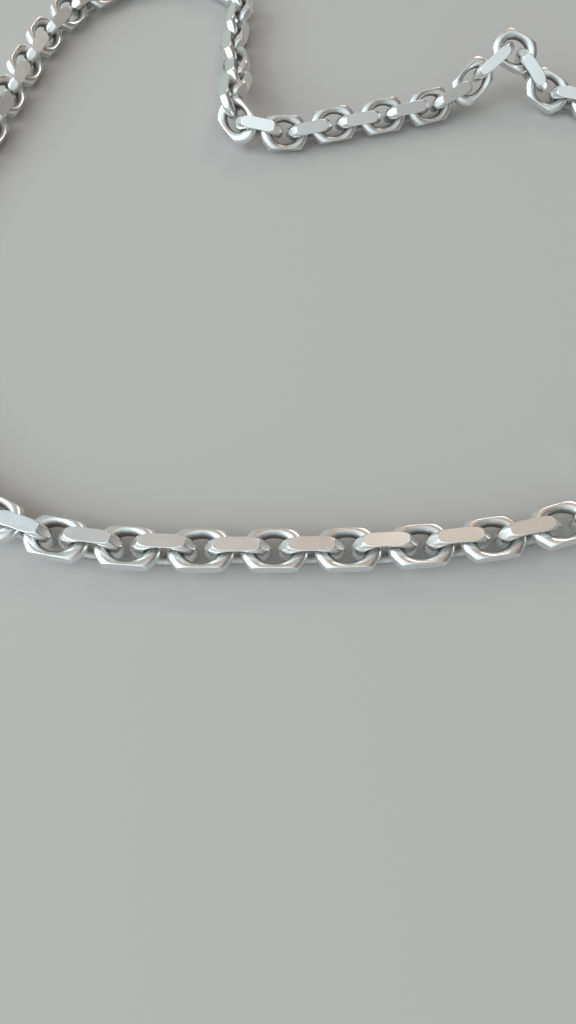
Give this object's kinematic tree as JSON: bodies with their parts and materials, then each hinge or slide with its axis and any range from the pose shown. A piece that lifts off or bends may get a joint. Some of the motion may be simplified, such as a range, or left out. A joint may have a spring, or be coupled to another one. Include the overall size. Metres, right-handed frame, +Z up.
{
  "type": "pocket watch chain",
  "caption": "Heavy silver cable chain of faceted oval links that stand square to each other, with a T bar at one end and a swivel clasp with a sprung gate at the other.",
  "frame": {"origin": "on the surface that the chain lies on, under the middle of the laid-out chain's box", "axes": "+Z up from the surface, +X along the near row towards the T bar, +Y from the near row towards the far bend"},
  "size_m": [0.1878, 0.1768, 0.0143],
  "materials": {
    "silver": "satin facets and semi-polished round wire",
    "worn_silver": "semi-polished, rubbed by use",
    "spring_steel": "fine drawn"
  },
  "bodies": {
    "t_bar": {"t_bar": "silver"},
    "t_bar_jump_ring": {"t_bar_jump_ring": "silver"},
    "link_01": {"link_01": "silver"},
    "link_02": {"link_02": "silver"},
    "link_03": {"link_03": "silver"},
    "link_04": {"link_04": "silver"},
    "link_05": {"link_05": "silver"},
    "link_06": {"link_06": "silver"},
    "link_07": {"link_07": "silver"},
    "link_08": {"link_08": "silver"},
    "link_09": {"link_09": "silver"},
    "link_10": {"link_10": "silver"},
    "link_11": {"link_11": "silver"},
    "link_12": {"link_12": "silver"},
    "link_13": {"link_13": "silver"},
    "link_14": {"link_14": "silver"},
    "link_15": {"link_15": "silver"},
    "link_16": {"link_16": "silver"},
    "link_17": {"link_17": "silver"},
    "links_18_to_22": {"links_18_to_22": "silver"},
    "links_23_to_27": {"links_23_to_27": "silver"},
    "links_28_to_32": {"links_28_to_32": "silver"},
    "links_33_to_34": {"links_33_to_34": "silver"},
    "links_35_to_36": {"links_35_to_36": "silver"},
    "links_37_to_38": {"links_37_to_38": "silver"},
    "links_39_to_40": {"links_39_to_40": "silver"},
    "links_41_to_42": {"links_41_to_42": "silver"},
    "links_43_to_47": {"links_43_to_47": "silver"},
    "links_48_to_52": {"links_48_to_52": "silver"},
    "link_53": {"link_53": "silver"},
    "link_54": {"link_54": "silver"},
    "link_55": {"link_55": "silver"},
    "link_56": {"link_56": "silver"},
    "link_57": {"link_57": "silver"},
    "link_58": {"link_58": "silver"},
    "link_59": {"link_59": "silver"},
    "link_60": {"link_60": "silver"},
    "link_61": {"link_61": "silver"},
    "link_62": {"link_62": "silver"},
    "link_63": {"link_63": "silver"},
    "link_64": {"link_64": "silver"},
    "link_65": {"link_65": "silver"},
    "link_66": {"link_66": "silver"},
    "link_67": {"link_67": "silver"},
    "link_68": {"link_68": "silver"},
    "link_69": {"link_69": "silver"},
    "link_70": {"link_70": "silver"},
    "link_71": {"link_71": "silver"},
    "link_72": {"link_72": "silver"},
    "link_73": {"link_73": "silver"},
    "link_74": {"link_74": "silver"},
    "link_75": {"link_75": "silver"},
    "link_76": {"link_76": "silver"},
    "link_77": {"link_77": "silver"},
    "clasp_jump_ring": {"clasp_jump_ring": "silver"},
    "swivel_eye": {"swivel_eye": "silver"},
    "clasp_body": {"clasp_body": "silver", "gate_pin": "spring_steel", "gate_spring": "spring_steel"},
    "clasp_gate": {"clasp_gate": "worn_silver"}
  },
  "joints": [
    {"name": "gate_hinge", "type": "hinge", "parent": "clasp_body", "child": "clasp_gate", "pos_m": [0.08167, 0.02333, 0.00309], "axis": [-0.1061, -0.4082, 0.9067], "range_deg": [0, 35], "stiffness_Nm_per_rad": 0.002, "springref_deg": -11.46},
    {"name": "clasp_swivel", "type": "hinge", "parent": "swivel_eye", "child": "clasp_body", "pos_m": [0.06986, 0.02815, 0.00387], "axis": [0.9856, -0.1636, 0.0417], "continuous": true},
    {"name": "clasp_ring_hinge", "type": "hinge", "parent": "clasp_jump_ring", "child": "swivel_eye", "pos_m": [0.06883, 0.02831, 0.00384], "axis": [0.1245, 0.487, -0.8645], "range_deg": [-65, 65]},
    {"name": "link_77_hinge", "type": "hinge", "parent": "link_77", "child": "clasp_jump_ring", "pos_m": [0.06446, 0.02909, 0.00363], "axis": [0.1793, 0.7811, 0.5981], "range_deg": [-60, 60]},
    {"name": "t_bar_eye_hinge", "type": "hinge", "parent": "t_bar_jump_ring", "child": "t_bar", "pos_m": [0.03906, -0.07792, 0.00403], "axis": [-0.3483, 0.9374, 0], "range_deg": [-90, 90]},
    {"name": "t_bar_ring_hinge", "type": "hinge", "parent": "link_01", "child": "t_bar_jump_ring", "pos_m": [0.03448, -0.07938, 0.00462], "axis": [-0.1158, -0.0386, -0.9925], "range_deg": [-90, 90]},
    {"name": "link_09_hinge", "type": "hinge", "parent": "link_10", "child": "link_09", "pos_m": [-0.01906, -0.08432, 0.00361], "axis": [0, -1, -0.0064], "range_deg": [-90, 90]},
    {"name": "link_10_hinge", "type": "hinge", "parent": "link_11", "child": "link_10", "pos_m": [-0.025, -0.08435, 0.00361], "axis": [0.0002, -0.053, 0.9986], "range_deg": [-90, 90]},
    {"name": "links_18_to_22_hinge", "type": "hinge", "parent": "links_23_to_27", "child": "links_18_to_22", "pos_m": [-0.08474, -0.05306, 0.0037], "axis": [0.3945, 0.2009, 0.8966], "range_deg": [-90, 60]},
    {"name": "links_33_to_34_hinge", "type": "hinge", "parent": "links_35_to_36", "child": "links_33_to_34", "pos_m": [-0.08209, 0.01903, 0.00364], "axis": [0.7088, -0.2536, 0.6582], "range_deg": [-90, 45]},
    {"name": "links_43_to_47_hinge", "type": "hinge", "parent": "links_43_to_47", "child": "links_48_to_52", "pos_m": [-0.04754, 0.08525, 0.00405], "axis": [0.2716, -0.6924, -0.6684], "range_deg": [-60, 90]},
    {"name": "links_48_to_52_hinge", "type": "hinge", "parent": "links_48_to_52", "child": "link_53", "pos_m": [-0.02487, 0.06914, 0.00334], "axis": [-0.517, -0.2075, 0.8304], "range_deg": [-90, 90]},
    {"name": "link_60_hinge", "type": "hinge", "parent": "link_60", "child": "link_61", "pos_m": [-0.02564, 0.02212, 0.00699], "axis": [-0.4787, 0.0018, 0.878], "range_deg": [-40, 25]},
    {"name": "link_61_hinge", "type": "hinge", "parent": "link_61", "child": "link_62", "pos_m": [-0.02158, 0.01802, 0.00398], "axis": [0.7288, 0.3621, 0.5811], "range_deg": [-25, 30]},
    {"name": "link_62_hinge", "type": "hinge", "parent": "link_62", "child": "link_63", "pos_m": [-0.01495, 0.01789, 0.00459], "axis": [0.0201, 0.6232, -0.7818], "range_deg": [-85, 60]},
    {"name": "link_72_hinge", "type": "hinge", "parent": "link_72", "child": "link_73", "pos_m": [0.03862, 0.03837, 0.01104], "axis": [-0.0031, -0.7835, 0.6213], "range_deg": [-50, 75]},
    {"name": "link_73_hinge", "type": "hinge", "parent": "link_73", "child": "link_74", "pos_m": [0.04403, 0.03679, 0.00917], "axis": [0.4108, 0.6629, 0.626], "range_deg": [-20, 90]},
    {"name": "link_74_hinge", "type": "hinge", "parent": "link_74", "child": "link_75", "pos_m": [0.04747, 0.03345, 0.0052], "axis": [0.0555, 0.8126, -0.5802], "range_deg": [-90, 90]},
    {"name": "link_75_hinge", "type": "hinge", "parent": "link_75", "child": "link_76", "pos_m": [0.05262, 0.03134, 0.00312], "axis": [-0.4968, -0.5917, -0.6349], "range_deg": [-90, 35]},
    {"name": "link_01_hinge", "type": "hinge", "parent": "link_02", "child": "link_01", "pos_m": [0.02829, -0.08113, 0.00375], "axis": [0.2666, -0.962, 0.0593], "range_deg": [-90, 90]},
    {"name": "link_02_hinge", "type": "hinge", "parent": "link_03", "child": "link_02", "pos_m": [0.02241, -0.08205, 0.00346], "axis": [-0.0364, -0.0562, 0.9978], "range_deg": [-90, 90]},
    {"name": "link_03_hinge", "type": "hinge", "parent": "link_04", "child": "link_03", "pos_m": [0.01654, -0.08294, 0.00361], "axis": [-0.1492, 0.9885, 0.0236], "range_deg": [-90, 90]},
    {"name": "link_04_hinge", "type": "hinge", "parent": "link_05", "child": "link_04", "pos_m": [0.01061, -0.08342, 0.00362], "axis": [-0.0013, -0.0049, -1], "range_deg": [-90, 90]},
    {"name": "link_05_hinge", "type": "hinge", "parent": "link_06", "child": "link_05", "pos_m": [0.00469, -0.08391, 0.00362], "axis": [0.0812, -0.9967, 0.0083], "range_deg": [-90, 90]},
    {"name": "link_06_hinge", "type": "hinge", "parent": "link_07", "child": "link_06", "pos_m": [-0.00124, -0.08413, 0.00361], "axis": [-0.0037, 0.0706, 0.9975], "range_deg": [-90, 90]},
    {"name": "link_07_hinge", "type": "hinge", "parent": "link_08", "child": "link_07", "pos_m": [-0.00718, -0.08433, 0.00362], "axis": [-0.033, 0.9994, 0.0135], "range_deg": [-90, 90]},
    {"name": "link_08_hinge", "type": "hinge", "parent": "link_09", "child": "link_08", "pos_m": [-0.01312, -0.08432, 0.00362], "axis": [0, 0.0416, -0.9991], "range_deg": [-90, 90]},
    {"name": "link_11_hinge", "type": "hinge", "parent": "link_12", "child": "link_11", "pos_m": [-0.03094, -0.08434, 0.00361], "axis": [0.0011, 0.9994, -0.0352], "range_deg": [-90, 90]},
    {"name": "link_12_hinge", "type": "hinge", "parent": "link_13", "child": "link_12", "pos_m": [-0.03688, -0.08402, 0.00361], "axis": [-0.0029, -0.0764, -0.9971], "range_deg": [-90, 90]},
    {"name": "link_13_hinge", "type": "hinge", "parent": "link_14", "child": "link_13", "pos_m": [-0.0428, -0.08356, 0.00362], "axis": [-0.0776, -0.9967, 0.0229], "range_deg": [-90, 90]},
    {"name": "link_14_hinge", "type": "hinge", "parent": "link_15", "child": "link_14", "pos_m": [-0.04867, -0.0826, 0.00361], "axis": [0.0089, 0.0707, 0.9975], "range_deg": [-90, 90]},
    {"name": "link_15_hinge", "type": "hinge", "parent": "link_16", "child": "link_15", "pos_m": [-0.05449, -0.08144, 0.00363], "axis": [0.1961, 0.9806, -0.0061], "range_deg": [-90, 90]},
    {"name": "link_16_hinge", "type": "hinge", "parent": "link_17", "child": "link_16", "pos_m": [-0.05998, -0.07907, 0.00361], "axis": [0.0134, 0.0315, -0.9994], "range_deg": [-50, 90]},
    {"name": "link_17_hinge", "type": "hinge", "parent": "links_18_to_22", "child": "link_17", "pos_m": [-0.06532, -0.07645, 0.00361], "axis": [-0.4395, -0.897, 0.0469], "range_deg": [-90, 90]},
    {"name": "links_23_to_27_hinge", "type": "hinge", "parent": "links_28_to_32", "child": "links_23_to_27", "pos_m": [-0.09055, -0.02283, 0.00366], "axis": [0.7412, 0.0641, -0.6682], "range_deg": [-50, 90]},
    {"name": "links_28_to_32_hinge", "type": "hinge", "parent": "links_33_to_34", "child": "links_28_to_32", "pos_m": [-0.08646, 0.00765, 0.00352], "axis": [-0.689, 0.1876, -0.7001], "range_deg": [-45, 90]},
    {"name": "links_35_to_36_hinge", "type": "hinge", "parent": "links_37_to_38", "child": "links_35_to_36", "pos_m": [-0.0799, 0.03101, 0.00369], "axis": [0.7573, -0.133, 0.6394], "range_deg": [-90, 90]},
    {"name": "links_37_to_38_hinge", "type": "hinge", "parent": "links_39_to_40", "child": "links_37_to_38", "pos_m": [-0.0778, 0.04301, 0.00359], "axis": [-0.7075, 0.1294, -0.6948], "range_deg": [-90, 90]},
    {"name": "links_39_to_40_hinge", "type": "hinge", "parent": "links_41_to_42", "child": "links_39_to_40", "pos_m": [-0.07507, 0.05488, 0.0036], "axis": [-0.682, 0.1574, -0.7142], "range_deg": [-90, 90]},
    {"name": "links_41_to_42_hinge", "type": "hinge", "parent": "links_43_to_47", "child": "links_41_to_42", "pos_m": [-0.07077, 0.06627, 0.00351], "axis": [0.6824, -0.2714, 0.6787], "range_deg": [-90, 90]},
    {"name": "link_53_hinge", "type": "hinge", "parent": "link_53", "child": "link_54", "pos_m": [-0.02505, 0.06315, 0.00394], "axis": [0.8312, 0.0287, 0.5553], "range_deg": [-90, 90]},
    {"name": "link_54_hinge", "type": "hinge", "parent": "link_54", "child": "link_55", "pos_m": [-0.02593, 0.05725, 0.00356], "axis": [0.4819, -0.0207, -0.876], "range_deg": [-90, 90]},
    {"name": "link_55_hinge", "type": "hinge", "parent": "link_55", "child": "link_56", "pos_m": [-0.0265, 0.05134, 0.00365], "axis": [-0.8446, 0.0736, -0.5303], "range_deg": [-90, 90]},
    {"name": "link_56_hinge", "type": "hinge", "parent": "link_56", "child": "link_57", "pos_m": [-0.0258, 0.04541, 0.00402], "axis": [-0.4862, -0.0069, 0.8738], "range_deg": [-90, 90]},
    {"name": "link_57_hinge", "type": "hinge", "parent": "link_57", "child": "link_58", "pos_m": [-0.02497, 0.03954, 0.00434], "axis": [0.887, 0.1501, 0.4367], "range_deg": [-90, 90]},
    {"name": "link_58_hinge", "type": "hinge", "parent": "link_58", "child": "link_59", "pos_m": [-0.02454, 0.03374, 0.00553], "axis": [0.494, -0.1401, -0.8581], "range_deg": [-90, 90]},
    {"name": "link_59_hinge", "type": "hinge", "parent": "link_59", "child": "link_60", "pos_m": [-0.02539, 0.02805, 0.00711], "axis": [-0.9098, 0.0166, -0.4147], "range_deg": [-90, 90]},
    {"name": "link_63_hinge", "type": "hinge", "parent": "link_63", "child": "link_64", "pos_m": [-0.00925, 0.01947, 0.00322], "axis": [0.0402, -0.7106, -0.7024], "range_deg": [-90, 90]},
    {"name": "link_64_hinge", "type": "hinge", "parent": "link_64", "child": "link_65", "pos_m": [-0.00363, 0.02152, 0.00355], "axis": [0.2144, -0.7023, 0.6788], "range_deg": [-90, 90]},
    {"name": "link_65_hinge", "type": "hinge", "parent": "link_65", "child": "link_66", "pos_m": [0.00213, 0.02298, 0.00365], "axis": [-0.1881, 0.6903, 0.6987], "range_deg": [-90, 90]},
    {"name": "link_66_hinge", "type": "hinge", "parent": "link_66", "child": "link_67", "pos_m": [0.00787, 0.02449, 0.00362], "axis": [-0.1943, 0.7274, -0.6582], "range_deg": [-90, 90]},
    {"name": "link_67_hinge", "type": "hinge", "parent": "link_67", "child": "link_68", "pos_m": [0.01358, 0.02612, 0.00358], "axis": [0.1868, -0.6715, -0.7171], "range_deg": [-90, 90]},
    {"name": "link_68_hinge", "type": "hinge", "parent": "link_68", "child": "link_69", "pos_m": [0.01923, 0.02796, 0.00362], "axis": [0.2113, -0.6633, 0.7179], "range_deg": [-90, 90]},
    {"name": "link_69_hinge", "type": "hinge", "parent": "link_69", "child": "link_70", "pos_m": [0.02479, 0.03006, 0.00359], "axis": [-0.2356, 0.6314, 0.7388], "range_deg": [-55, 90]},
    {"name": "link_70_hinge", "type": "hinge", "parent": "link_70", "child": "link_71", "pos_m": [0.02971, 0.03323, 0.00507], "axis": [-0.212, 0.6537, -0.7265], "range_deg": [-90, 90]},
    {"name": "link_71_hinge", "type": "hinge", "parent": "link_71", "child": "link_72", "pos_m": [0.03378, 0.03619, 0.0083], "axis": [0.7268, -0.3675, -0.5803], "range_deg": [-75, 75]},
    {"name": "link_76_hinge", "type": "hinge", "parent": "link_76", "child": "link_77", "pos_m": [0.05871, 0.0306, 0.00339], "axis": [-0.0948, -0.6074, 0.7887], "range_deg": [-90, 90]}
  ]
}
